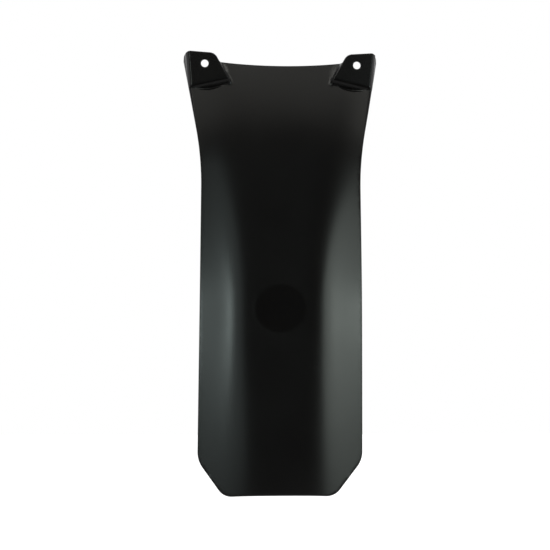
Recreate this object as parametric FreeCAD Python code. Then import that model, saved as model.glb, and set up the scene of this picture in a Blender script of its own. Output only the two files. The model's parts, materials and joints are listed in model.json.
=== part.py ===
import FreeCAD, Part
import math
import os
from FreeCAD import Vector

# Rear shock absorber guard of an off-road motorbike: one moulded sheet with two bolt ears.
# Millimetres and degrees. X runs across the guard, Z up, and the photographed face looks to -Y.
# The origin lies midway between the two bolt holes, on the plane on which the ears seat.

# Bolt holes and the flat face of an ear
HOLE_PITCH = 134.0
HOLE_DIAMETER = 6.6
EAR_WALL = 3.0
EAR_ABOVE_HOLE = 10.0
EAR_BELOW_HOLE = 18.2
EAR_OUTER_REACH = 12.2
EAR_INNER_REACH = 14.0
EAR_TOP_ANGLE = 3.8
EAR_BOTTOM_ANGLE = 13.2
EAR_INNER_ANGLE = 29.0
EAR_OUTER_ANGLE = 5.8
EAR_TOP_OUTER_RADIUS = 3.5
EAR_TOP_INNER_RADIUS = 8.0
EAR_LOWER_RADIUS = 3.0

# Walls that join an ear to the sheet, and the pocket behind it
EAR_STANDOFF = 5.5
EAR_SIDE_WALL = 2.4
INNER_DRAFT_ANGLE = 22.0
BOTTOM_DRAFT_ANGLE = 35.0
OUTER_DRAFT_ANGLE = 16.0
EDGE_STRIP = 2.0
WEB_DEPTH = 7.0
POCKET_RADIUS = 0.8
POCKET_RISE = 10.0

# Sheet and its outline
WALL = 2.5
GUARD_DROP = 380.0
TOP_EDGE_RISE = 2.4
TOP_EDGE_SAG = 2.8
TOP_CORNER_DROP = 3.5
TOP_CORNER_RADIUS = 1.0
WAIST_DROP = 83.0
WAIST_WIDTH = 139.4
WAIST_RADIUS = 270.0
FOOT_WIDTH = 144.6
FOOT_FLAT_WIDTH = 98.0
FOOT_CHAMFER_RISE = 33.4
FOOT_UPPER_RADIUS = 24.0
FOOT_LOWER_RADIUS = 14.6

# Trough down the middle: its floor, the softness of its creases and the pitch of its flanks
DEEPEST_DROP = 216.0
FLOOR_HALF_TOP = 57.5
FLOOR_HALF_DEEPEST = 37.6
FLOOR_HALF_FOOT = 36.7
CREASE_TOP = 9.7
CREASE_DEEPEST = 4.8
CREASE_FOOT = 9.1
FLANK_ANGLE_TOP = 8.0
FLANK_ANGLE_DEEPEST = 22.7
FLANK_ANGLE_FOOT = 19.9

# Backward bend of the upper part
LEAN_START_DROP = 90.0
LEAN_RADIUS = 355.0

# Round pad on the floor of the trough
PAD_DIAMETER = 44.0
PAD_DEPTH = 0.3
PAD_BEVEL = 2.4

# Small bevels that break the sheet's rim, the ears' faces and the roots of their walls
RIM_BREAK = 0.4
CROWN_BREAK = 0.6
ROOT_BREAK = 0.4

# Points that the moulded surface passes through each way, and the reach of cutting tools
SURFACE_POINTS = 21
SURFACE_MARGIN = 8.0
TOOL_DEPTH = 60.0
TOLERANCE = 0.2

hole_x = HOLE_PITCH / 2
along_y = Vector(0, 1, 0)


def tan(degrees):
    return math.tan(math.radians(degrees))


def eased(t):
    """From 0 to 1, level at both ends."""
    return 0.5 - 0.5 * math.cos(math.pi * min(max(t, 0.0), 1.0))


def along(z, top, deepest, foot):
    """A figure that passes from the hole row through the deepest station to the foot."""
    above = z + DEEPEST_DROP
    if above > 0:
        return deepest + (top - deepest) * eased(above / DEEPEST_DROP)
    return deepest + (foot - deepest) * eased(-above / (GUARD_DROP - DEEPEST_DROP))


def hinge(u, soft):
    """Zero below u = 0 and u above it, with a corner rounded by soft."""
    return soft * math.log1p(math.exp(u / soft))


def flank_rise(x, z):
    """How far the flanks of the trough come forward of its floor."""
    half = along(z, FLOOR_HALF_TOP, FLOOR_HALF_DEEPEST, FLOOR_HALF_FOOT)
    soft = along(z, CREASE_TOP, CREASE_DEEPEST, CREASE_FOOT)
    pitch = tan(along(z, FLANK_ANGLE_TOP, FLANK_ANGLE_DEEPEST, FLANK_ANGLE_FOOT))
    return pitch * (hinge(x - half, soft) + hinge(-x - half, soft) - 2 * hinge(-half, soft))


def lean_back(z):
    """How far the bent upper part falls back."""
    rise = max(0.0, z + LEAN_START_DROP)
    return LEAN_RADIUS - math.sqrt(LEAN_RADIUS ** 2 - rise ** 2)


# The sheet lies EAR_STANDOFF behind an ear's face at that face's lower edge
floor_y = EAR_STANDOFF - EAR_WALL - lean_back(-EAR_BELOW_HOLE)


def front_y(x, z):
    """The photographed face of the sheet."""
    return floor_y + lean_back(z) - flank_rise(x, z)


def back_y(x, z):
    """The front moved back by the wall, measured square to the sheet."""
    step = 0.05
    across = (front_y(x + step, z) - front_y(x - step, z)) / (2 * step)
    upward = (front_y(x, z + step) - front_y(x, z - step)) / (2 * step)
    return front_y(x, z) + WALL * math.sqrt(1 + across ** 2 + upward ** 2)


def space_behind(depth, reach):
    """All that lies behind the surface y = depth(x, z), out to reach past the outline."""
    half = top_half_width + reach
    low = -GUARD_DROP - reach
    high = EAR_ABOVE_HOLE + EAR_TOP_OUTER_RADIUS + reach
    steps = [i / (SURFACE_POINTS - 1) for i in range(SURFACE_POINTS)]
    rows = []
    for z in [low + (high - low) * t for t in steps]:
        rows.append([Vector(x, depth(x, z), z) for x in [half * (2 * t - 1) for t in steps]])
    surface = Part.BSplineSurface()
    surface.interpolate(rows)
    return surface.toShape().extrude(along_y * TOOL_DEPTH)


def rounded_face(corners):
    """A face in the plane y = 0 through (x, z, radius) corners, each rounded by an arc."""
    arcs = []
    for i, (x, z, radius) in enumerate(corners):
        here = Vector(x, 0, z)
        before, after = (Vector(c[0], 0, c[1]) for c in (corners[i - 1], corners[(i + 1) % len(corners)]))
        to_before = (before - here).normalize()
        to_after = (after - here).normalize()
        half_angle = to_before.getAngle(to_after) / 2
        tangent = radius / math.tan(half_angle)
        inward = (to_before + to_after).normalize()
        middle_point = here + inward * (radius / math.sin(half_angle) - radius)
        arcs.append(Part.Arc(here + to_before * tangent, middle_point, here + to_after * tangent).toShape())
    edges = []
    for i, arc in enumerate(arcs):
        following = arcs[(i + 1) % len(arcs)]
        edges += [arc, Part.makeLine(arc.Vertexes[-1].Point, following.Vertexes[0].Point)]
    return Part.Face(Part.Wire(edges))


def prism(face):
    """A face in the plane y = 0 swept along Y, through everything."""
    return face.translated(along_y * -TOOL_DEPTH).extrude(along_y * 2 * TOOL_DEPTH)


def crossing(first, second):
    """Where two lines meet, each a point (x, z) and a direction (dx, dz)."""
    (ax, az), (adx, adz) = first
    (bx, bz), (bdx, bdz) = second
    t = ((bx - ax) * bdz - (bz - az) * bdx) / (adx * bdz - adz * bdx)
    return ax + adx * t, az + adz * t


def way(degrees):
    """The direction (dx, dz) that leans by an angle from X towards Z."""
    return math.cos(math.radians(degrees)), math.sin(math.radians(degrees))


def ear_corners(inset, rise, y):
    """Corners of the section of an ear's block in the plane y, its walls drafted outwards to the back.

    They start at the top outer one. A pocket's section is inset, and rises over the ear's top edge.
    """
    back = y + EAR_WALL
    inner_way = way(90 - EAR_INNER_ANGLE)
    outer_way = way(90 - flare_angle + EAR_OUTER_ANGLE)
    low_way = way(-EAR_BOTTOM_ANGLE)
    inner = (inset - back * tan(INNER_DRAFT_ANGLE)) / inner_way[1]
    outer = (inset - back * tan(OUTER_DRAFT_ANGLE)) / outer_way[1]
    low = (inset - back * tan(BOTTOM_DRAFT_ANGLE)) / low_way[0]
    lines = [
        ((hole_x, EAR_ABOVE_HOLE + rise), way(EAR_TOP_ANGLE)),
        ((hole_x - EAR_INNER_REACH + inner, 0.0), inner_way),
        ((hole_x, low - EAR_BELOW_HOLE), low_way),
        ((hole_x + EAR_OUTER_REACH - outer, TOP_EDGE_RISE), outer_way),
    ]
    meets = [crossing(lines[i - 1], lines[i]) for i in range(len(lines))]
    return [Vector(x, y, z) for x, z in meets]


def runs_back(edge, corner):
    """Whether an edge of a block leaves a corner of its near face and runs back."""
    ends = sorted((v.Point for v in edge.Vertexes), key=lambda p: p.y)
    return ends[-1].y > ends[0].y + TOLERANCE and (ends[0] - corner).Length < TOLERANCE


def ear_block(inset, rise, start, radii):
    """The drafted block of the ear at +X, from the plane y = start to behind the sheet.

    The radii round the edges that run back from its corners.
    """
    near = ear_corners(inset, rise, start)
    far = ear_corners(inset, rise, TOOL_DEPTH / 2)
    rings = [near, far[::-1]]
    rings += [[near[i], near[i - 1], far[i - 1], far[i]] for i in range(len(near))]
    shell = Part.makeShell([Part.Face(Part.makePolygon(ring + ring[:1])) for ring in rings])
    shell.sewShape()
    block = Part.makeSolid(shell)
    for corner, radius in zip(near, radii):
        block = block.makeFillet(radius, [e for e in block.Edges if runs_back(e, corner)])
    return block


def both_sides(shape):
    """A shape at +X and its mirror image."""
    return [shape, shape.mirror(Vector(0, 0, 0), Vector(1, 0, 0))]


def middle(edge):
    """The point halfway along an edge."""
    return edge.valueAt((edge.FirstParameter + edge.LastParameter) / 2)


def from_rim(point):
    """How far a point lies from the sheet's rim, seen along Y."""
    return Part.Vertex(point.x, 0, point.z).distToShape(rim_line)[0]


def is_rim(edge):
    """Whether an edge is the front or the back edge of the plain sheet's rim."""
    p = middle(edge)
    return min(abs(p.y - front_y(p.x, p.z)), abs(p.y - back_y(p.x, p.z))) < TOLERANCE


def is_root(edge):
    """Whether an edge is where an ear's wall rises from the sheet's front."""
    p = middle(edge)
    on_front = abs(p.y - front_y(p.x, p.z)) < TOLERANCE
    return on_front and from_rim(p) > (RIM_BREAK + EDGE_STRIP) / 2


def is_crown(edge):
    """Whether an edge bounds the flat face of an ear."""
    return abs(middle(edge).y + EAR_WALL) < TOLERANCE


# The strip of sheet outside an ear's outer wall sets the width at the top
wall_depth = EAR_WALL + back_y(hole_x, TOP_EDGE_RISE)
top_half_width = hole_x + EAR_OUTER_REACH + wall_depth * tan(OUTER_DRAFT_ANGLE) + EDGE_STRIP

# The ear's outer wall follows the sides, which draw in towards the waist
side_drop = WAIST_DROP + TOP_EDGE_RISE - TOP_CORNER_DROP
flare_angle = math.degrees(math.atan2(top_half_width - WAIST_WIDTH / 2, side_drop))

right_side = [
    (top_half_width - EDGE_STRIP / 2, TOP_EDGE_RISE, TOP_CORNER_RADIUS),
    (top_half_width, TOP_EDGE_RISE - TOP_CORNER_DROP, TOP_CORNER_RADIUS),
    (WAIST_WIDTH / 2, -WAIST_DROP, WAIST_RADIUS),
    (FOOT_WIDTH / 2, -GUARD_DROP + FOOT_CHAMFER_RISE, FOOT_UPPER_RADIUS),
    (FOOT_FLAT_WIDTH / 2, -GUARD_DROP, FOOT_LOWER_RADIUS),
]
left_side = [(-x, z, radius) for x, z, radius in reversed(right_side)]

# The top edge sags between the ears
sag_half = hole_x - EAR_INNER_REACH
sag_radius = (sag_half ** 2 + TOP_EDGE_SAG ** 2) / (2 * TOP_EDGE_SAG)
sag_centre = Vector(0, 0, TOP_EDGE_RISE - TOP_EDGE_SAG + sag_radius)
sag = Part.Face(Part.Wire(Part.makeCircle(sag_radius, sag_centre, along_y)))
blank = rounded_face(right_side + left_side).cut(sag)
rim_line = Part.Compound(blank.Edges)

# The sheet: its outline, between the moulded front and the same surface a wall further back
behind_back = space_behind(back_y, SURFACE_MARGIN + WALL)
guard = prism(blank).common(space_behind(front_y, SURFACE_MARGIN)).cut(behind_back)
guard = guard.makeChamfer(RIM_BREAK, [e for e in guard.Edges if is_rim(e)])

# The ears stand forward of it
ear_radii = (EAR_TOP_OUTER_RADIUS, EAR_TOP_INNER_RADIUS, EAR_LOWER_RADIUS, EAR_LOWER_RADIUS)
ear = ear_block(0.0, 0.0, -EAR_WALL, ear_radii)
ear = ear.makeChamfer(CROWN_BREAK, [e for e in ear.Edges if is_crown(e)])
for shape in both_sides(ear.cut(behind_back)):
    guard = guard.fuse(shape)
guard = guard.removeSplitter()
guard = guard.makeChamfer(ROOT_BREAK, [e for e in guard.Edges if is_root(e)])

# A pocket behind each ear, open to the back and over the top edge, and the bolt hole.
# Above the sheet's top edge the inner wall stops, and the outer one runs out in a slanted web.
pocket = ear_block(EAR_SIDE_WALL, POCKET_RISE, 0.0, [POCKET_RADIUS] * 4)
mouth = Part.makeBox(TOOL_DEPTH, TOOL_DEPTH, TOOL_DEPTH, Vector(hole_x - TOOL_DEPTH, 0, TOP_EDGE_RISE))
web_line = [
    Vector(hole_x, WEB_DEPTH, TOOL_DEPTH),
    Vector(hole_x, WEB_DEPTH, EAR_ABOVE_HOLE),
    Vector(hole_x, wall_depth - EAR_WALL, TOP_EDGE_RISE),
    Vector(hole_x, TOOL_DEPTH, TOP_EDGE_RISE),
    Vector(hole_x, TOOL_DEPTH, TOOL_DEPTH),
]
web_cut = Part.Face(Part.makePolygon(web_line + web_line[:1])).extrude(Vector(TOOL_DEPTH, 0, 0))
hole = Part.makeCylinder(HOLE_DIAMETER / 2, 2 * TOOL_DEPTH, Vector(hole_x, -TOOL_DEPTH, 0), along_y)
for tool in (pocket, mouth, web_cut, hole):
    for cutter in both_sides(tool):
        guard = guard.cut(cutter)

# The round pad, let into the floor with a bevelled edge
pad_radius = PAD_DIAMETER / 2
pad = Part.makeCone(pad_radius + PAD_BEVEL, pad_radius - PAD_BEVEL, 2 * PAD_DEPTH,
                    Vector(0, floor_y - PAD_DEPTH, -DEEPEST_DROP), along_y)
guard = guard.cut(pad)

os.makedirs("parts", exist_ok=True)
guard.Solids[0].exportStep("parts/shock_guard.step")
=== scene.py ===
import json
import math
from types import SimpleNamespace

import bpy
import numpy as np
from bpy.props import FloatProperty, FloatVectorProperty, PointerProperty
from mathutils import Matrix, Vector
from mathutils.geometry import delaunay_2d_cdt


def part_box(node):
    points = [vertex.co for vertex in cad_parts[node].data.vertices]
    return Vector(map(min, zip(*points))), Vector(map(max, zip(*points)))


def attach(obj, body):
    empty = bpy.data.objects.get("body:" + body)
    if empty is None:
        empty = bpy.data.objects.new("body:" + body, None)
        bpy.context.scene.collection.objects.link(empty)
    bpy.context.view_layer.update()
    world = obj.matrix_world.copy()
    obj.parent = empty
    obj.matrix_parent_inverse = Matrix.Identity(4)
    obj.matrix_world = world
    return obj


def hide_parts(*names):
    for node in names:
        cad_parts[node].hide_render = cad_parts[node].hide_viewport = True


bl_info = {
    "name": "Shock absorber guard",
    "version": (1, 0, 0),
    "blender": (4, 5, 0),
    "location": "3D View > Sidebar > Guard",
    "description": "Moulds the rear shock absorber guard of a motorbike and sets it in a studio",
    "category": "Object",
}

# Metres and radians. X runs across the guard, Z up, and its outer face looks to -Y.
MM = 0.001
NODE = "shock_guard"
SLOT = "black_plastic"
IMAGE_PIXELS = 550
SENSOR_WIDTH = 36.0
WHITE = (1.0, 1.0, 1.0, 1.0)

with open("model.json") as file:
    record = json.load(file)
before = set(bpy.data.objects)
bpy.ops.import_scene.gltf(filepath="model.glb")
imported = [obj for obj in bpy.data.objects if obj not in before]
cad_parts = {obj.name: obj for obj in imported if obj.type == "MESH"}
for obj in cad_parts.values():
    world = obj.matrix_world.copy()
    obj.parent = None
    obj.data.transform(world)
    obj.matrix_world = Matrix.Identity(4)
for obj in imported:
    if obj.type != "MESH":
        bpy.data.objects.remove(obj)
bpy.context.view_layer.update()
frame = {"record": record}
cad_low, cad_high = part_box(NODE)
bolts = frame["record"]["mounts"][0]["dims"]

# How far the skin's widest points stand past the solid's, in millimetres
EDGE_PROUD = 1.0


def length(name, millimetres, description):
    """A length that a user may change."""
    return FloatProperty(name=name, description=description, default=millimetres * MM,
                         subtype="DISTANCE", unit="LENGTH", precision=5)


def angle(name, degrees, description):
    """An angle that a user may change."""
    return FloatProperty(name=name, description=description, default=math.radians(degrees),
                         subtype="ANGLE", unit="ROTATION")


def number(name, value, description):
    """A plain number that a user may change."""
    return FloatProperty(name=name, description=description, default=value, precision=4)


def colour(name, value, description):
    """A colour that a user may change."""
    return FloatVectorProperty(name=name, description=description, default=value,
                               subtype="COLOR", size=3, min=0.0, max=1.0)


class GuardSheetSizes(bpy.types.PropertyGroup):
    """Sizes of the moulded sheet, its outline, trough, bend and pad"""

    wall: length("Wall", 2.5, "Thickness of the sheet")
    guard_drop: length("Drop", -cad_low[2] / MM, "From the bolt holes down to the foot")
    top_half_width: length("Half width at top", cad_high[0] / MM + EDGE_PROUD,
                           "From the middle to the widest point")
    top_edge_rise: length("Top edge", 2.4, "Height of the top edge at the ears, above the holes")
    top_edge_sag: length("Top edge sag", 2.8, "How far the top edge sags between the ears")
    top_corner_radius: length("Top corner radius", 3.0, "Rounding at the widest point")
    waist_drop: length("Waist drop", 83.0, "From the holes down to the waist")
    waist_width: length("Waist width", 139.4, "Width where the sides meet at the waist")
    waist_radius: length("Waist radius", 270.0, "Rounding of the sides at the waist")
    foot_width: length("Foot width", 144.6, "Width above the cut corners of the foot")
    foot_flat_width: length("Foot edge", 98.0, "Width between the cut corners, along the foot")
    foot_chamfer_rise: length("Foot corner", 33.4, "Height of the cut corners")
    foot_upper_radius: length("Foot upper radius", 24.0, "Rounding where a side meets its cut corner")
    foot_lower_radius: length("Foot lower radius", 14.6, "Rounding where a cut corner meets the foot")
    deepest_drop: length("Deepest drop", 216.0, "From the holes down to the deepest place of the trough")
    floor_half_top: length("Floor, top", 57.5, "Half width of the trough's floor at the holes")
    floor_half_deepest: length("Floor, deepest", 37.6, "Half width of the floor where it is deepest")
    floor_half_foot: length("Floor, foot", 36.7, "Half width of the floor at the foot")
    crease_top: length("Crease, top", 9.7, "Softness of the crease at the holes")
    crease_deepest: length("Crease, deepest", 4.8, "Softness of the crease where it is deepest")
    crease_foot: length("Crease, foot", 9.1, "Softness of the crease at the foot")
    flank_angle_top: angle("Flank, top", 8.0, "Pitch of the flanks at the holes")
    flank_angle_deepest: angle("Flank, deepest", 22.7, "Pitch of the flanks where they are steepest")
    flank_angle_foot: angle("Flank, foot", 19.9, "Pitch of the flanks at the foot")
    lean_start_drop: length("Lean start", 90.0, "From the holes down to where the upper part bends back")
    lean_radius: length("Lean radius", 355.0, "Radius of that bend")
    roll_width: length("Edge roll", 4.0, "Width of the rolled side edges beside the ears")
    roll_radius: length("Edge roll radius", 1.8, "Radius of the roll")
    roll_drop: length("Edge roll drop", 78.0, "From the holes down to where the roll has run out")
    pad_drop: length("Pad drop", 214.5, "From the holes down to the middle of the pad in the trough")
    pad_radius: length("Pad radius", 24.5, "Half the width of the pad")
    pad_flat: number("Pad flat", 0.915, "Height of the pad over its width")
    pad_depth: length("Pad depth", 0.1, "How far the pad is let in")
    pad_bevel: length("Pad bevel", 3.2, "Width of the bevel round the pad")
    rim_radius: length("Rim radius", 0.7, "Rounding of every rim")


class GuardEarSizes(bpy.types.PropertyGroup):
    """Sizes of the two bolt ears"""

    hole_pitch: length("Hole pitch", bolts["spacing_x_mm"], "Distance between the two bolt holes")
    hole_radius: length("Hole radius", bolts["hole_r_mm"], "Radius of a bolt hole")
    ear_wall: length("Ear wall", 3.0, "Thickness of an ear")
    above_hole: length("Above the hole", 10.0, "From a hole up to the ear's top edge")
    below_hole: length("Below the hole", 18.2, "From a hole down to the ear's lower edge")
    outer_reach: length("Outer reach", 13.3, "From a hole out to the edge of the ear's face")
    inner_reach: length("Inner reach", 14.0, "From a hole in to the edge of the ear's face")
    top_angle: angle("Top slope", 3.8, "Slope of the ear's top edge")
    bottom_angle: angle("Bottom slope", 13.2, "Slope of the ear's lower edge")
    inner_angle: angle("Inner slant", 29.0, "Slant of the ear's inner edge")
    outer_angle: angle("Outer taper", 5.8, "Angle between the ear's outer edge and the guard's side")
    top_outer_radius: length("Top outer radius", 5.5, "Rounding of the ear's top outer corner")
    top_inner_radius: length("Top inner radius", 8.0, "Rounding of the ear's top inner corner")
    notch_radius: length("Notch radius", 1.0, "Rounding where the ear leaves the top edge")
    standoff: length("Standoff", 5.5, "From the ear's face to the sheet, at the ear's lower edge")
    side_wall: length("Side wall", 2.4, "Thickness of the walls round the pocket")
    inner_draft: angle("Inner draft", 8.0, "Draft of the ear's inner wall")
    bottom_draft: angle("Bottom draft", 35.0, "Draft of the ear's lower wall")
    outer_draft: angle("Outer draft", 9.0, "Draft of the ear's outer wall")
    web_depth: length("Web depth", 7.0, "Depth of the outer wall at the ear's top")
    web_slope: number("Web slope", 0.6, "How fast that wall deepens below the ear's top")
    inner_crown: length("Inner crown", 0.8, "Rounding of the inner edge of an ear's face")
    lower_crown: length("Lower crown", 7.0, "Rounding of the lower edge of an ear's face")
    outer_bevel: length("Outer bevel", 2.8, "Width of the bevel along the outer edge of an ear's face")
    outer_crown: length("Outer crown", 0.8, "Rounding of the edges of that bevel")
    outer_lean: angle("Outer lean", 3.0, "Inward lean of the ear's outline above the top edge")
    groove_reach: length("Groove reach", 13.0, "Half the length of the groove below an ear")
    groove_shift: length("Groove shift", 4.5, "How far its middle lies inside the hole")
    groove_width: length("Groove width", 3.2, "Height of the groove at its middle")
    groove_run: number("Groove run", 0.65, "Height of the groove's lower side over its depth")
    swell_rise: length("Swell rise", 1.4, "How far the sheet swells up to an ear's inner wall")
    swell_width: length("Swell width", 6.5, "Width of that swell")
    swell_end: length("Swell end", 10.0, "How far above the ear's lower edge it starts to run out")
    root_soft: length("Root softness", 0.5, "Rounding where an ear's walls leave the sheet")
    pocket_soft: length("Pocket softness", 3.0, "Rounding of the edges of the pocket's floor")
    least_wall: length("Least wall", 1.8, "Thickness that is kept at every edge")


class GuardFinish(bpy.types.PropertyGroup):
    """Finish of the black plastic"""

    black: colour("Black", (0.0034, 0.0026, 0.0028), "Colour of the moulded plastic")
    mottle: colour("Mottle", (0.0043, 0.0035, 0.0035), "Colour of its faint cloudiness")
    roughness: number("Roughness", 0.26, "Roughness of the satin face")
    roughness_spread: number("Roughness spread", 0.03, "How much the satin varies")
    pad_roughness: number("Pad roughness", 0.21, "Roughness of the smooth round pad")
    cloud_size: length("Cloud size", 55.0, "Size of the faint clouds in the satin")
    grain_size: length("Grain size", 0.7, "Size of the fine moulded grain")
    grain_depth: length("Grain depth", 0.02, "Depth of the fine moulded grain")
    grain_strength: number("Grain strength", 0.18, "How strongly the grain shows")


class GuardStudio(bpy.types.PropertyGroup):
    """Camera, lamps and floor"""

    camera_distance: length("Camera distance", 1400.0, "From the camera to the middle of the guard")
    camera_turn: angle("Camera turn", 4.3, "How far the camera stands to the left")
    camera_rise: angle("Camera rise", 1.16, "How far the camera stands above the middle")
    camera_roll: angle("Camera roll", 0.32, "How far the camera leans to its left")
    aim_across: length("Aim across", -4.15, "Where the camera aims, across from the middle")
    aim_height: length("Aim height", -0.44, "Where the camera aims, above the middle")
    pixel: length("Pixel", 0.88218, "Width of one pixel of the picture at the guard")
    floor_gap: length("Floor gap", 80.0, "From the foot of the hanging guard down to the floor")
    floor_half: length("Floor half", 700.0, "Half the width of the floor")
    floor_front: length("Floor front", 300.0, "How far the floor reaches in front of the guard")
    floor_white: colour("Floor", (0.40, 0.40, 0.40), "Colour of the floor")
    floor_lift: number("Floor lift", 0.95, "White that the floor shows to the camera beside its light")
    room_back: number("Room behind", 0.9, "Brightness of the white room behind the guard")
    room_front: number("Room in front", 0.011, "Brightness of the dim room round the camera")
    lamp_distance: length("Lamp distance", 1300.0, "From the middle of the guard to each lamp")
    lamp_height: length("Lamp height", 740.0, "Height of the lamps at the sides")
    lamp_lift: length("Lamp lift", -31.0, "How far the middle of the side lamps stands above the guard's")
    glow_size: length("Glow size", 151.0, "Width and height of the bright middle of a side lamp")
    glow_drop: length("Glow drop", 75.0, "How far the bright middles stand below the middle of the guard")
    left_turn: angle("Left lamp turn", -28.9, "Direction of the left lamp from straight ahead")
    left_width: length("Left lamp width", 512.0, "Width of the left lamp")
    left_strength: number("Left lamp", 2.38, "Brightness of the left lamp's face")
    left_glow: number("Left glow", 8.2, "Brightness of the left lamp's middle")
    left_glow_turn: angle("Left glow turn", -35.0, "Direction of the left lamp's bright middle")
    left_tint: colour("Left lamp tint", (0.89, 1.0, 0.93), "Colour of the left lamp")
    right_turn: angle("Right lamp turn", 42.6, "Direction of the right lamp from straight ahead")
    right_width: length("Right lamp width", 1390.0, "Width of the right lamp")
    right_strength: number("Right lamp", 0.71, "Brightness of the right lamp's face")
    right_glow: number("Right glow", 11.8, "Brightness of the right lamp's middle")
    right_glow_turn: angle("Right glow turn", 38.6, "Direction of the right lamp's bright middle")
    right_tint: colour("Right lamp tint", (0.83, 0.98, 0.95), "Colour of the right lamp")
    top_turn: angle("Top lamp turn", 21.5, "Direction of each top lamp from straight ahead")
    top_rise: angle("Top lamp rise", 38.8, "How high the top lamps stand above the horizon")
    top_size: length("Top lamp size", 700.0, "Width and depth of a top lamp")
    top_left_strength: number("Top left lamp", 1.3, "Brightness of the top left lamp's face")
    top_right_strength: number("Top right lamp", 0.58, "Brightness of the top right lamp's face")
    ear_turn: angle("Ear lamp turn", 38.0, "Direction of each small lamp for the ears' inner sides")
    ear_rise: angle("Ear lamp rise", 46.0, "How high these lamps stand above the horizon")
    ear_size: length("Ear lamp size", 340.0, "Width and depth of an ear lamp")
    ear_strength: number("Ear lamps", 2.6, "Brightness of an ear lamp's face")
    top_tint: colour("Top lamp tint", (1.0, 1.0, 0.93), "Colour of the top and ear lamps")


GROUPS = {
    "guard_sheet": GuardSheetSizes,
    "guard_ear": GuardEarSizes,
    "guard_finish": GuardFinish,
    "guard_studio": GuardStudio,
}

# Mesh density: spacing of the points on the sheet and round the ears
SHEET_STEP = 2.0 * MM
EAR_STEP = 0.6 * MM
EAR_MARGIN = 7.0 * MM
HEX_ROW = math.sqrt(3) / 2
# Share of a step by which the points inside keep clear of the edges and rings
CLEARANCE = 0.6
# Counts of points and of bands on round and curved edges
HOLE_POINTS = 48
PAD_POINTS = 180
PAD_BANDS = 3
RIM_STEPS = 4
SAG_STEPS = 12
LEAST_ARC_STEPS = 6
# A corner that turns by less, in radians, is straight, and points closer together, in metres, are one
STRAIGHT = 1e-4
MERGE = 1e-7
# The triangulation's mode that fills the whole hull
HULL_TRIANGLES = 0
# How steeply the pocket's inner wall gives way above the sheet's top edge
MOUTH_STEEPNESS = 30.0
# Fixed values of the two materials, and the heading along Y over which the room turns from dim to white
PLASTIC_IOR = 1.5
CLOUD_DETAIL = 3.0
GRAIN_DETAIL = 2.0
FLOOR_ROUGHNESS = 0.9
ROOM_FADE = (-0.30, 0.05)


class Number:
    """A number that a node tree works out at each point. Its signs and methods add Math nodes."""

    def __init__(self, tree, socket):
        self.tree = tree
        self.socket = socket

    def math(self, operation, *others):
        """This number and the others put through one Math node."""
        node = self.tree.nodes.new("ShaderNodeMath")
        node.operation = operation
        for socket, value in zip(node.inputs, (self, *others)):
            if isinstance(value, Number):
                self.tree.links.new(value.socket, socket)
            else:
                socket.default_value = value
        return Number(self.tree, node.outputs["Value"])

    def __add__(self, other):
        return self.math("ADD", other)

    def __sub__(self, other):
        return self.math("SUBTRACT", other)

    def __mul__(self, other):
        return self.math("MULTIPLY", other)

    def __truediv__(self, other):
        return self.math("DIVIDE", other)

    def __neg__(self):
        return self.math("MULTIPLY", -1.0)

    def at_least(self, other):
        return self.math("MAXIMUM", other)

    def at_most(self, other):
        return self.math("MINIMUM", other)

    def eased(self):
        """From 0 to 1 with this number, level at both ends."""
        share = self.at_least(0.0).at_most(1.0)
        return (share * math.pi).math("COSINE") * -0.5 + 0.5


def way(lean):
    """The direction (dx, dz) that leans by an angle from X towards Z."""
    return Vector((math.cos(lean), math.sin(lean)))


def crossing(first, second):
    """Where two lines meet, each a point and a direction."""
    (a, along_a), (b, along_b) = first, second
    t = (b - a).cross(along_b) / along_a.cross(along_b)
    return a + along_a * t


def side_angle(sheet):
    """How far the guard's sides draw in between the widest point and the waist."""
    fall = sheet.waist_drop + sheet.top_edge_rise
    return math.atan2(sheet.top_half_width - sheet.waist_width / 2, fall)


def rounded(corners, step):
    """Points about a step apart along a closed line whose (point, radius) corners are arcs."""
    runs = []
    for i, (here, radius) in enumerate(corners):
        before, after = corners[i - 1][0], corners[(i + 1) % len(corners)][0]
        to_before = (before - here).normalized()
        to_after = (after - here).normalized()
        half = to_before.angle(to_after) / 2
        if radius == 0 or math.pi / 2 - half < STRAIGHT:
            runs.append([here])
            continue
        centre = here + (to_before + to_after).normalized() * (radius / math.sin(half))
        start = here + to_before * (radius / math.tan(half)) - centre
        turn = math.copysign(math.pi - 2 * half, -to_before.cross(to_after))
        count = max(LEAST_ARC_STEPS, math.ceil(abs(turn) * radius / step(here)))
        runs.append([centre + Matrix.Rotation(turn * k / count, 2) @ start for k in range(count + 1)])
    points = []
    for i, run in enumerate(runs):
        points += run
        gap = runs[(i + 1) % len(runs)][0] - run[-1]
        count = math.ceil(gap.length / step(run[-1] + gap / 2))
        points += [run[-1] + gap * (k / count) for k in range(1, count)]
    return points


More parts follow.
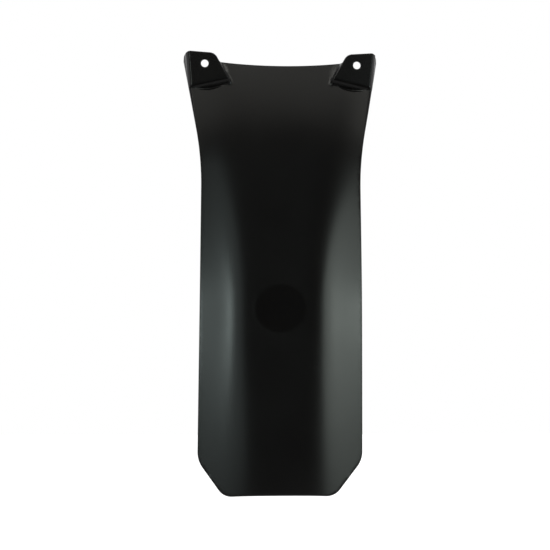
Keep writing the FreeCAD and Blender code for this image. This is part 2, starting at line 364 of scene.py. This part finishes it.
def outline(sheet, ear):
    """The guard's outline seen from the front, anticlockwise, as corners (point, radius)."""
    hole_x = ear.hole_pitch / 2
    sag_half = hole_x - ear.inner_reach
    sag_radius = (sag_half ** 2 + sheet.top_edge_sag ** 2) / (2 * sheet.top_edge_sag)
    sag_bottom = sheet.top_edge_rise - sheet.top_edge_sag
    inner_line = (Vector((sag_half, 0.0)), way(math.pi / 2 - ear.inner_angle))
    top_line = (Vector((hole_x, ear.above_hole)), way(ear.top_angle))
    widest = Vector((sheet.top_half_width, sheet.top_edge_rise))
    outer_line = (widest, way(math.pi / 2 + ear.outer_lean))
    notch = crossing(inner_line, (Vector((0.0, sheet.top_edge_rise)), Vector((1.0, 0.0))))
    foot_corner = Vector((sheet.foot_width / 2, sheet.foot_chamfer_rise - sheet.guard_drop))
    top = [(Vector((0.0, sag_bottom)), 0.0)]
    for i in range(1, SAG_STEPS):
        x = notch.x * i / SAG_STEPS
        top.append((Vector((x, sag_bottom + x * x / (2 * sag_radius))), 0.0))
    right = [
        (notch, ear.notch_radius),
        (crossing(inner_line, top_line), ear.top_inner_radius),
        (crossing(top_line, outer_line), ear.top_outer_radius),
        (widest, sheet.top_corner_radius),
        (Vector((sheet.waist_width / 2, -sheet.waist_drop)), sheet.waist_radius),
        (foot_corner, sheet.foot_upper_radius),
        (Vector((sheet.foot_flat_width / 2, -sheet.guard_drop)), sheet.foot_lower_radius),
    ]
    half = top + right
    mirrored = [(Vector((-point.x, point.y)), radius) for point, radius in half[1:]]
    return mirrored + half[::-1]


def inside(points, loop):
    """Which of the points lie within a closed line."""
    x, z = points[:, 0:1], points[:, 1:2]
    ax, az = loop[:, 0], loop[:, 1]
    bx, bz = np.roll(ax, -1), np.roll(az, -1)
    spans = (az > z) != (bz > z)
    rise = np.where(bz == az, 1.0, bz - az)
    return (spans & (x < (bx - ax) * (z - az) / rise + ax)).sum(axis=1) % 2 == 1


def lattice(low, high, step):
    """Points of a honeycomb lattice in a rectangle."""
    rows = np.arange(low[1], high[1], step * HEX_ROW)
    columns = np.arange(low[0], high[0], step)
    shifted = (np.arange(len(rows)) % 2)[:, None] * step / 2
    x = columns[None, :] + shifted
    z = np.repeat(rows[:, None], len(columns), axis=1)
    return np.column_stack([x.ravel(), z.ravel()])


def clear_of(points, others, gap):
    """Those of the points that lie further than a gap from all the others."""
    near = np.array([np.min(np.sum((others - p) ** 2, axis=1)) for p in points])
    return points[near > gap ** 2]


def outward(loop):
    """Unit normals to the right of a closed line's way, at its points."""
    run = np.roll(loop, -1, axis=0) - np.roll(loop, 1, axis=0)
    normal = np.column_stack([run[:, 1], -run[:, 0]])
    return normal / np.linalg.norm(normal, axis=1)[:, None]


def circle(centre, radius, count, turn):
    """Points of a circle, anticlockwise where turn is 1."""
    t = np.arange(count) * 2 * np.pi / count
    return np.column_stack([centre[0] + radius * np.cos(t), centre[1] + turn * radius * np.sin(t)])


class Blank:
    """The flat blank: a front and a back skin in one plane, joined by rounded rims.

    Each point has its side, 0 in front and 1 behind, and its sink, how far it lies below that skin.
    """

    def __init__(self, sheet, ear):
        self.sheet = sheet
        self.ear = ear
        self.points = []
        self.side = []
        self.sink = []
        self.faces = []
        hole_x = ear.hole_pitch / 2
        edge = np.array([tuple(p) for p in rounded(outline(sheet, ear), self.step)])
        holes = [circle((x, 0.0), ear.hole_radius, HOLE_POINTS, -1) for x in (hole_x, -hole_x)]
        self.rims = [edge] + holes
        self.normals = [outward(rim) for rim in self.rims]
        self.insets = [rim - normal * sheet.rim_radius for rim, normal in zip(self.rims, self.normals)]
        inner = sheet.pad_radius - sheet.pad_bevel
        radii = [inner + sheet.pad_bevel * k / PAD_BANDS for k in range(PAD_BANDS + 1)]
        rings = [circle((0.0, 0.0), radius, PAD_POINTS, 1) for radius in radii]
        rings = [ring * (1.0, sheet.pad_flat) - (0.0, sheet.pad_drop) for ring in rings]
        flat, triangles, loops = self.triangulate(rings)
        front = self.add(flat, 0, 0.0)
        back = self.add(flat, 1, 0.0)
        self.faces += [tuple(front + i for i in t) for t in triangles]
        self.faces += [tuple(back + i for i in reversed(t)) for t in triangles]
        for loop, rim, normal in zip(loops, self.rims, self.normals):
            self.close(rim, normal, [front + i for i in loop], [back + i for i in loop])

    def step(self, point):
        """The spacing of points along the outline."""
        return EAR_STEP if point.y > -self.sheet.roll_drop else SHEET_STEP

    def fill(self, fixed):
        """Lattice points inside the outline and outside the holes, clear of the fixed points."""
        low, high = self.insets[0].min(axis=0), self.insets[0].max(axis=0)
        coarse = lattice(low, high, SHEET_STEP)
        fine = lattice((low[0], -self.sheet.roll_drop), high, EAR_STEP)
        coarse = clear_of(coarse[~self.needs_detail(coarse)], fixed, SHEET_STEP * CLEARANCE)
        fine = clear_of(fine[self.needs_detail(fine)], fixed, EAR_STEP * CLEARANCE)
        points = np.concatenate([coarse, fine])
        keep = inside(points, self.insets[0])
        for hole in self.insets[1:]:
            keep &= ~inside(points, hole)
        return points[keep]

    def needs_detail(self, points):
        """Which of the points lie at the ears or on the rolled side edges."""
        sheet, ear = self.sheet, self.ear
        across, height = np.abs(points[:, 0]), points[:, 1]
        ear_in = ear.hole_pitch / 2 - ear.inner_reach - EAR_MARGIN
        ear_low = -ear.below_hole - EAR_MARGIN
        side = sheet.top_half_width + (height - sheet.top_edge_rise) * math.tan(side_angle(sheet))
        at_ear = (across > ear_in) & (height > ear_low)
        on_roll = (side - across < sheet.roll_width + SHEET_STEP) & (height > -sheet.roll_drop)
        return at_ear | on_roll

    def triangulate(self, rings):
        """The points, the triangles and the rim loops of one skin, seen from the front."""
        fixed = np.concatenate(self.insets + rings)
        edges = []
        loops = []
        start = 0
        for line in self.insets + rings:
            loop = list(range(start, start + len(line)))
            edges += list(zip(loop, loop[1:] + loop[:1]))
            loops.append(loop)
            start += len(line)
        given = np.concatenate([fixed, self.fill(fixed)])
        result = delaunay_2d_cdt([Vector(p) for p in given], edges, [], HULL_TRIANGLES, MERGE)
        flat = np.array([tuple(v) for v in result[0]])
        place = {i: k for k, sources in enumerate(result[3]) for i in sources}
        triangles = np.array(result[2])
        middle = flat[triangles].mean(axis=1)
        keep = inside(middle, self.insets[0])
        for hole in self.insets[1:]:
            keep &= ~inside(middle, hole)
        loops = [[place[i] for i in loop] for loop in loops[:len(self.insets)]]
        return flat, triangles[keep].tolist(), loops

    def add(self, flat, side, sink):
        """Adds points that lie below one skin by a sink, and returns the number of the first."""
        first = len(self.points)
        self.points += [(x, 0.0, z) for x, z in flat]
        self.side += [float(side)] * len(flat)
        self.sink += [sink] * len(flat)
        return first

    def close(self, rim, normal, front_loop, back_loop):
        """Joins the two skins along one rim, with both edges rounded."""
        radius = self.sheet.rim_radius
        rings = [[], []]
        for side in (0, 1):
            for k in range(1, RIM_STEPS + 1):
                bend = math.pi / 2 * k / RIM_STEPS
                flat = rim - normal * radius * (1 - math.sin(bend))
                first = self.add(flat, side, radius * (1 - math.cos(bend)))
                rings[side].append(list(range(first, first + len(flat))))
        loops = [front_loop] + rings[0] + rings[1][::-1] + [back_loop]
        for near, far in zip(loops, loops[1:]):
            for i in range(len(near)):
                self.faces.append((near[i], near[i - 1], far[i - 1], far[i]))

    def mesh(self):
        """The blank as a mesh."""
        mesh = bpy.data.meshes.new("guard_blank")
        mesh.from_pydata(self.points, [], self.faces)
        for name, values in (("side", self.side), ("sink", self.sink)):
            mesh.attributes.new(name, "FLOAT", "POINT").data.foreach_set("value", values)
        return mesh


def forming_sizes(sheet, ear):
    """The named inputs of the forming tree."""
    sizes = {}
    for group in (sheet, ear):
        for prop in group.bl_rna.properties:
            if prop.type == "FLOAT":
                sizes[prop.identifier] = getattr(group, prop.identifier)
    sizes["side_angle"] = side_angle(sheet)
    return sizes


def sheet_faces(s, x, z):
    """Depth of the sheet's front and back at each point, without the ears."""
    down_trough = z + s.deepest_drop
    up = (down_trough / s.deepest_drop).eased()
    down = (down_trough / (s.deepest_drop - s.guard_drop)).eased()

    def along(top, deepest, foot):
        """A size that changes along the trough."""
        return deepest + (top - deepest) * up + (foot - deepest) * down

    half = along(s.floor_half_top, s.floor_half_deepest, s.floor_half_foot)
    soft = along(s.crease_top, s.crease_deepest, s.crease_foot)
    pitch = along(s.flank_angle_top, s.flank_angle_deepest, s.flank_angle_foot).math("TANGENT")

    def hinge(u):
        """0 before a crease and rising one for one behind it, with the crease's softness."""
        return soft * ((u / soft).math("EXPONENT") + 1.0).math("LOGARITHM", math.e)

    def hinge_slope(u):
        """How steeply the hinge rises."""
        return ((-u / soft).math("EXPONENT") + 1.0).math("POWER", -1.0)

    flank = pitch * (hinge(x - half) + hinge(-x - half) - hinge(-half) * 2.0)
    across = pitch * (hinge_slope(x - half) - hinge_slope(-x - half))

    def fall(rise):
        """How far the bend has taken the sheet back at a height above its start."""
        return s.lean_radius - (s.lean_radius * s.lean_radius - rise * rise).math("SQRT")

    rise = (z + s.lean_start_drop).at_least(0.0)
    upward = rise / (s.lean_radius - fall(rise))
    floor = s.standoff - s.ear_wall - fall(s.lean_start_drop - s.below_hole)

    side = s.top_half_width + (z - s.top_edge_rise) * s.side_angle.math("TANGENT")
    from_edge = (side - x.math("ABSOLUTE")) * s.side_angle.math("COSINE")
    width = s.roll_width * ((z + s.roll_drop) / s.roll_drop).at_least(0.0).at_most(1.0)
    into_roll = (width - from_edge).at_least(0.0).at_most(width)
    roll = into_roll * into_roll / s.roll_radius * 0.5

    front = floor + fall(rise) - flank + roll
    slope = across * across + upward * upward + 1.0
    back = front + s.wall * slope.math("SQRT")
    return front, back


def ear_edges(s, x, z):
    """How far each point lies outside an ear's inner, lower and outer edges, and the walls' drafts."""
    across = x.math("ABSOLUTE") - s.hole_pitch * 0.5
    outer_angle = s.side_angle - s.outer_angle
    inner = z * s.inner_angle.math("SINE") - (across + s.inner_reach) * s.inner_angle.math("COSINE")
    low = -across * s.bottom_angle.math("SINE") - (z + s.below_hole) * s.bottom_angle.math("COSINE")
    outer = ((across - s.outer_reach) * outer_angle.math("COSINE")
             - (z - s.top_edge_rise) * outer_angle.math("SINE"))
    drafts = [draft.math("TANGENT") for draft in (s.inner_draft, s.bottom_draft, s.outer_draft)]
    return (inner, low, outer), drafts


def ear_relief(s, edges, drafts):
    """Depth of the ears' faces and of their walls, as if these ran on through the sheet."""
    inner, low, outer = edges
    inner_draft, low_draft, outer_draft = drafts
    inner_wall = (inner / inner_draft).math("SMOOTH_MAX", 0.0, s.inner_crown)
    lower_wall = (low / low_draft).math("SMOOTH_MAX", 0.0, s.lower_crown)
    outer_wall = (outer - s.outer_bevel) / outer_draft + s.outer_bevel
    outer_wall = outer_wall.math("SMOOTH_MAX", outer, s.outer_crown)
    outer_wall = outer_wall.math("SMOOTH_MAX", 0.0, s.outer_crown)
    walls = inner_wall * inner_wall + lower_wall * lower_wall + outer_wall * outer_wall
    return walls.math("SQRT") - s.ear_wall


def ear_swell(s, edges):
    """How far the sheet swells up to the ears' inner walls."""
    inner, low, _ = edges
    share = (-inner / s.swell_width + 1.0).at_least(0.0).at_most(1.0)
    return s.swell_rise * share * share * (-low / s.swell_end).eased()


def ear_groove(s, x, below_sheet, edges, drafts):
    """Depth of the groove that the ears' lower walls run down into, where they lie below the sheet."""
    low, low_draft = edges[1], drafts[1]
    along = (x.math("ABSOLUTE") - s.hole_pitch * 0.5 + s.groove_shift) / s.groove_reach
    width = (-(along * along) + 1.0) * s.groove_width
    upper_side = below_sheet * (low / s.root_soft).at_least(0.0).at_most(1.0)
    lower_side = (width - upper_side * low_draft) / s.groove_run
    return upper_side.at_most(lower_side).at_least(0.0)


def ear_pocket(s, z, edges, drafts):
    """Depth of the pockets behind the ears, and the depth that their walls reach."""
    inner, low, outer = edges
    inner_draft, low_draft, outer_draft = drafts
    mouth = (z - s.top_edge_rise).at_least(0.0) * MOUTH_STEEPNESS
    pocket = ((inner + s.side_wall) / inner_draft - mouth).at_least((low + s.side_wall) / low_draft)
    pocket = pocket.at_least((outer + s.side_wall) / outer_draft)
    pocket = pocket.math("SMOOTH_MAX", s.ear_wall, s.pocket_soft) - s.ear_wall
    web = s.web_depth + (s.above_hole - z).at_least(0.0) * s.web_slope
    return pocket, web


def pad_share(s, x, z):
    """1 on the pad, 0 off it, and eased between the two on its bevel."""
    drop = (z + s.pad_drop) / s.pad_flat
    radius = (x * x + drop * drop).math("SQRT")
    return ((s.pad_radius - radius) / s.pad_bevel).eased()


def formed_depths(s, x, z):
    """Depth of the guard's front and back at each point, and where the pad is."""
    sheet_front, sheet_back = sheet_faces(s, x, z)
    edges, drafts = ear_edges(s, x, z)
    relief = ear_relief(s, edges, drafts)
    pocket, web = ear_pocket(s, z, edges, drafts)
    pad = pad_share(s, x, z)

    front = (sheet_front - ear_swell(s, edges)).math("SMOOTH_MIN", relief, s.root_soft)
    front = front + pad * s.pad_depth + ear_groove(s, x, relief - sheet_front, edges, drafts)
    back = sheet_back.math("SMOOTH_MIN", pocket, s.root_soft).at_most(web)
    return front, back.at_least(front + s.least_wall), pad


def forming_tree(sizes):
    """The node tree that gives a flat blank its depth."""
    tree = bpy.data.node_groups.new("Guard forming", "GeometryNodeTree")
    face = tree.interface
    face.new_socket("Geometry", in_out="INPUT", socket_type="NodeSocketGeometry")
    face.new_socket("Geometry", in_out="OUTPUT", socket_type="NodeSocketGeometry")
    face.new_socket("Material", in_out="INPUT", socket_type="NodeSocketMaterial")
    for name in sizes:
        face.new_socket(name, in_out="INPUT", socket_type="NodeSocketFloat")
    nodes, links = tree.nodes, tree.links
    given = nodes.new("NodeGroupInput")
    s = SimpleNamespace(**{name: Number(tree, given.outputs[name]) for name in sizes})

    place = nodes.new("ShaderNodeSeparateXYZ")
    links.new(nodes.new("GeometryNodeInputPosition").outputs["Position"], place.inputs["Vector"])
    x, z = Number(tree, place.outputs["X"]), Number(tree, place.outputs["Z"])
    front, back, pad = formed_depths(s, x, z)

    def attribute(name):
        """A number that the blank keeps at each point."""
        node = nodes.new("GeometryNodeInputNamedAttribute")
        node.data_type = "FLOAT"
        node.inputs["Name"].default_value = name
        return Number(tree, node.outputs["Attribute"])

    side, sink = attribute("side"), attribute("sink")
    depth = front + sink + (back - front - sink * 2.0) * side

    formed = nodes.new("ShaderNodeCombineXYZ")
    for axis, value in (("X", x), ("Y", depth), ("Z", z)):
        links.new(value.socket, formed.inputs[axis])
    keep_pad = nodes.new("GeometryNodeStoreNamedAttribute")
    keep_pad.data_type = "FLOAT"
    keep_pad.domain = "POINT"
    keep_pad.inputs["Name"].default_value = "pad"
    links.new(given.outputs["Geometry"], keep_pad.inputs["Geometry"])
    links.new((pad - pad * side).socket, keep_pad.inputs["Value"])
    press = nodes.new("GeometryNodeSetPosition")
    links.new(keep_pad.outputs["Geometry"], press.inputs["Geometry"])
    links.new(formed.outputs["Vector"], press.inputs["Position"])
    smooth = nodes.new("GeometryNodeSetShadeSmooth")
    links.new(press.outputs["Geometry"], smooth.inputs["Geometry"])
    real = nodes.new("GeometryNodeRealizeInstances")
    links.new(smooth.outputs["Geometry"], real.inputs["Geometry"])
    dress = nodes.new("GeometryNodeSetMaterial")
    links.new(real.outputs["Geometry"], dress.inputs["Geometry"])
    links.new(given.outputs["Material"], dress.inputs["Material"])
    links.new(dress.outputs["Geometry"], nodes.new("NodeGroupOutput").inputs["Geometry"])
    return tree


def form(blank, tree, sizes, material):
    """The blank pressed into shape by the tree, as a plain mesh."""
    former = bpy.data.objects.new("guard_former", blank)
    bpy.context.scene.collection.objects.link(former)
    modifier = former.modifiers.new("Forming", "NODES")
    modifier.node_group = tree
    values = dict(sizes, Material=material)
    for item in tree.interface.items_tree:
        if item.in_out == "INPUT" and item.name in values:
            modifier[item.identifier] = values[item.name]
    evaluated = former.evaluated_get(bpy.context.evaluated_depsgraph_get())
    mesh = bpy.data.meshes.new_from_object(evaluated)
    former.modifiers.remove(modifier)
    bpy.data.objects.remove(former)
    return mesh


def plastic_material(finish):
    """Satin black moulded plastic, smoother on the pad."""
    material = bpy.data.materials.new(SLOT)
    material.use_nodes = True
    nodes, links = material.node_tree.nodes, material.node_tree.links
    shader = nodes["Principled BSDF"]
    shader.inputs["IOR"].default_value = PLASTIC_IOR

    where = nodes.new("ShaderNodeTexCoord").outputs["Object"]
    clouds = nodes.new("ShaderNodeTexNoise")
    clouds.inputs["Scale"].default_value = 1.0 / finish.cloud_size
    clouds.inputs["Detail"].default_value = CLOUD_DETAIL
    links.new(where, clouds.inputs["Vector"])
    grain = nodes.new("ShaderNodeTexNoise")
    grain.inputs["Scale"].default_value = 1.0 / finish.grain_size
    grain.inputs["Detail"].default_value = GRAIN_DETAIL
    links.new(where, grain.inputs["Vector"])

    tint = nodes.new("ShaderNodeMix")
    tint.data_type = "RGBA"
    tint.inputs["A"].default_value = (*finish.black, 1.0)
    tint.inputs["B"].default_value = (*finish.mottle, 1.0)
    links.new(clouds.outputs["Fac"], tint.inputs["Factor"])
    links.new(tint.outputs["Result"], shader.inputs["Base Color"])

    satin = nodes.new("ShaderNodeMapRange")
    satin.inputs["To Min"].default_value = finish.roughness - finish.roughness_spread
    satin.inputs["To Max"].default_value = finish.roughness + finish.roughness_spread
    links.new(clouds.outputs["Fac"], satin.inputs["Value"])
    pad = nodes.new("ShaderNodeAttribute")
    pad.attribute_name = "pad"
    polish = nodes.new("ShaderNodeMix")
    polish.inputs["B"].default_value = finish.pad_roughness
    links.new(pad.outputs["Fac"], polish.inputs["Factor"])
    links.new(satin.outputs["Result"], polish.inputs["A"])
    links.new(polish.outputs["Result"], shader.inputs["Roughness"])

    bump = nodes.new("ShaderNodeBump")
    bump.inputs["Strength"].default_value = finish.grain_strength
    bump.inputs["Distance"].default_value = finish.grain_depth
    links.new(grain.outputs["Fac"], bump.inputs["Height"])
    links.new(bump.outputs["Normal"], shader.inputs["Normal"])
    return material


class GUARD_OT_mould(bpy.types.Operator):
    """Mould the guard from a flat blank and give it its finish"""

    bl_idname = "guard.mould"
    bl_label = "Mould the guard"

    def execute(self, context):
        scene = context.scene
        sizes = forming_sizes(scene.guard_sheet, scene.guard_ear)
        blank = Blank(scene.guard_sheet, scene.guard_ear).mesh()
        mesh = form(blank, forming_tree(sizes), sizes, plastic_material(scene.guard_finish))
        guard = bpy.data.objects.new("guard_sheet", mesh)
        scene.collection.objects.link(guard)
        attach(guard, "root")
        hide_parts(NODE)
        return {"FINISHED"}


def lamp(name, aim, heading, distance, size, strength, tint):
    """A soft rectangular lamp of one brightness, at a heading (turn, rise) and a distance from its aim."""
    turn, rise = heading
    flat = math.cos(rise)
    out = Vector((math.sin(turn) * flat, -math.cos(turn) * flat, math.sin(rise)))
    data = bpy.data.lights.new(name, "AREA")
    data.shape = "RECTANGLE"
    data.size, data.size_y = size
    data.energy = strength * math.pi * size[0] * size[1]
    data.color = tint
    light = bpy.data.objects.new(name, data)
    light.location = aim + out * distance
    light.rotation_euler = (aim - light.location).to_track_quat("-Z", "Y").to_euler()
    bpy.context.scene.collection.objects.link(light)


def studio_lamps(studio, middle):
    """A wide lamp with a bright middle at each side, and two pairs of lamps above."""
    far = studio.lamp_distance
    face_aim = middle + Vector((0.0, 0.0, studio.lamp_lift))
    glow_aim = middle - Vector((0.0, 0.0, studio.glow_drop))
    glow_size = (studio.glow_size, studio.glow_size)
    for side, turn, width, strength, glow_turn, glow, tint in (
        ("left", studio.left_turn, studio.left_width, studio.left_strength,
         studio.left_glow_turn, studio.left_glow, studio.left_tint),
        ("right", studio.right_turn, studio.right_width, studio.right_strength,
         studio.right_glow_turn, studio.right_glow, studio.right_tint),
    ):
        lamp(side + "_lamp", face_aim, (turn, 0.0), far, (width, studio.lamp_height), strength, tint)
        lamp(side + "_glow", glow_aim, (glow_turn, 0.0), far, glow_size, glow, tint)
    for pair, turn, rise, size, strengths in (
        ("top", studio.top_turn, studio.top_rise, studio.top_size,
         (studio.top_left_strength, studio.top_right_strength)),
        ("ear", studio.ear_turn, studio.ear_rise, studio.ear_size,
         (studio.ear_strength, studio.ear_strength)),
    ):
        for side, way_out, strength in zip(("left", "right"), (-turn, turn), strengths):
            name = f"{pair}_{side}_lamp"
            lamp(name, middle, (way_out, rise), far, (size, size), strength, studio.top_tint)


def white_room(studio):
    """A room that is white behind the guard and dim round the camera, and all white to the camera."""
    world = bpy.data.worlds.new("studio_room")
    world.use_nodes = True
    nodes, links = world.node_tree.nodes, world.node_tree.links
    shader = nodes["Background"]
    shader.inputs["Color"].default_value = WHITE
    look = nodes.new("ShaderNodeSeparateXYZ")
    links.new(nodes.new("ShaderNodeTexCoord").outputs["Generated"], look.inputs["Vector"])
    room = nodes.new("ShaderNodeMapRange")
    room.interpolation_type = "SMOOTHSTEP"
    room.inputs["From Min"].default_value = ROOM_FADE[0]
    room.inputs["From Max"].default_value = ROOM_FADE[1]
    room.inputs["To Min"].default_value = studio.room_front
    room.inputs["To Max"].default_value = studio.room_back
    links.new(look.outputs["Y"], room.inputs["Value"])
    seen = nodes.new("ShaderNodeMix")
    seen.inputs["B"].default_value = 1.0
    links.new(nodes.new("ShaderNodeLightPath").outputs["Is Camera Ray"], seen.inputs["Factor"])
    links.new(room.outputs["Result"], seen.inputs["A"])
    links.new(seen.outputs["Result"], shader.inputs["Strength"])
    bpy.context.scene.world = world


def white_floor(studio, level):
    """A pale floor below the hanging guard, which keeps the guard's shadow."""
    material = bpy.data.materials.new("studio_floor")
    material.use_nodes = True
    nodes, links = material.node_tree.nodes, material.node_tree.links
    shader = nodes["Principled BSDF"]
    shader.inputs["Base Color"].default_value = (*studio.floor_white, 1.0)
    shader.inputs["Roughness"].default_value = FLOOR_ROUGHNESS
    shader.inputs["Emission Color"].default_value = WHITE
    lift = nodes.new("ShaderNodeMath")
    lift.operation = "MULTIPLY"
    lift.inputs[1].default_value = studio.floor_lift
    links.new(nodes.new("ShaderNodeLightPath").outputs["Is Camera Ray"], lift.inputs[0])
    links.new(lift.outputs["Value"], shader.inputs["Emission Strength"])
    half, front = studio.floor_half, -studio.floor_front
    back = front + 2.0 * half
    corners = [(-half, front, level), (half, front, level), (half, back, level), (-half, back, level)]
    mesh = bpy.data.meshes.new("studio_floor")
    mesh.from_pydata(corners, [], [(0, 1, 2, 3)])
    mesh.materials.append(material)
    floor = bpy.data.objects.new("studio_floor", mesh)
    bpy.context.scene.collection.objects.link(floor)


def photo_camera(studio, middle):
    """A camera at the photograph's place, looking at the middle of the guard."""
    turn, rise, roll = studio.camera_turn, studio.camera_rise, studio.camera_roll
    ahead = Vector((math.sin(turn) * math.cos(rise), math.cos(turn) * math.cos(rise), -math.sin(rise)))
    level = Vector((math.cos(turn), -math.sin(turn), 0.0))
    upright = level.cross(ahead)
    right = level * math.cos(roll) + upright * math.sin(roll)
    up = upright * math.cos(roll) - level * math.sin(roll)
    place = middle - ahead * studio.camera_distance + right * studio.aim_across + up * studio.aim_height
    data = bpy.data.cameras.new("photo_camera")
    data.sensor_width = SENSOR_WIDTH
    data.lens = SENSOR_WIDTH * studio.camera_distance / (studio.pixel * IMAGE_PIXELS)
    camera = bpy.data.objects.new("photo_camera", data)
    camera.matrix_world = Matrix.Translation(place) @ Matrix((right, up, -ahead)).transposed().to_4x4()
    bpy.context.scene.collection.objects.link(camera)
    bpy.context.scene.camera = camera


class GUARD_OT_stage(bpy.types.Operator):
    """Set the floor, the lamps, the white room and the camera"""

    bl_idname = "guard.stage"
    bl_label = "Set the studio"

    def execute(self, context):
        studio = context.scene.guard_studio
        context.scene.view_settings.view_transform = "Standard"
        middle = Vector((0.0, 0.0, (cad_low[2] + cad_high[2]) / 2))
        white_floor(studio, cad_low[2] - studio.floor_gap)
        white_room(studio)
        studio_lamps(studio, middle)
        photo_camera(studio, middle)
        return {"FINISHED"}


class GUARD_PT_panel(bpy.types.Panel):
    """The guard's sizes, finish and studio"""

    bl_idname = "GUARD_PT_panel"
    bl_label = "Shock absorber guard"
    bl_space_type = "VIEW_3D"
    bl_region_type = "UI"
    bl_category = "Guard"

    def draw(self, context):
        layout = self.layout
        for operator in (GUARD_OT_mould, GUARD_OT_stage):
            layout.operator(operator.bl_idname)
        for name in GROUPS:
            group = getattr(context.scene, name)
            box = layout.box()
            for prop in group.bl_rna.properties:
                if prop.type == "FLOAT":
                    box.prop(group, prop.identifier)


CLASSES = (*GROUPS.values(), GUARD_OT_mould, GUARD_OT_stage, GUARD_PT_panel)


def register():
    """Adds the classes, and each group of sizes to the scene."""
    for cls in CLASSES:
        bpy.utils.register_class(cls)
    for name, group in GROUPS.items():
        setattr(bpy.types.Scene, name, PointerProperty(type=group))


def unregister():
    """Takes the groups and the classes away again."""
    for name in GROUPS:
        delattr(bpy.types.Scene, name)
    for cls in reversed(CLASSES):
        bpy.utils.unregister_class(cls)


def main():
    """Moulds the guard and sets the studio."""
    register()
    bpy.ops.guard.mould()
    bpy.ops.guard.stage()


if __name__ == "__main__":
    main()
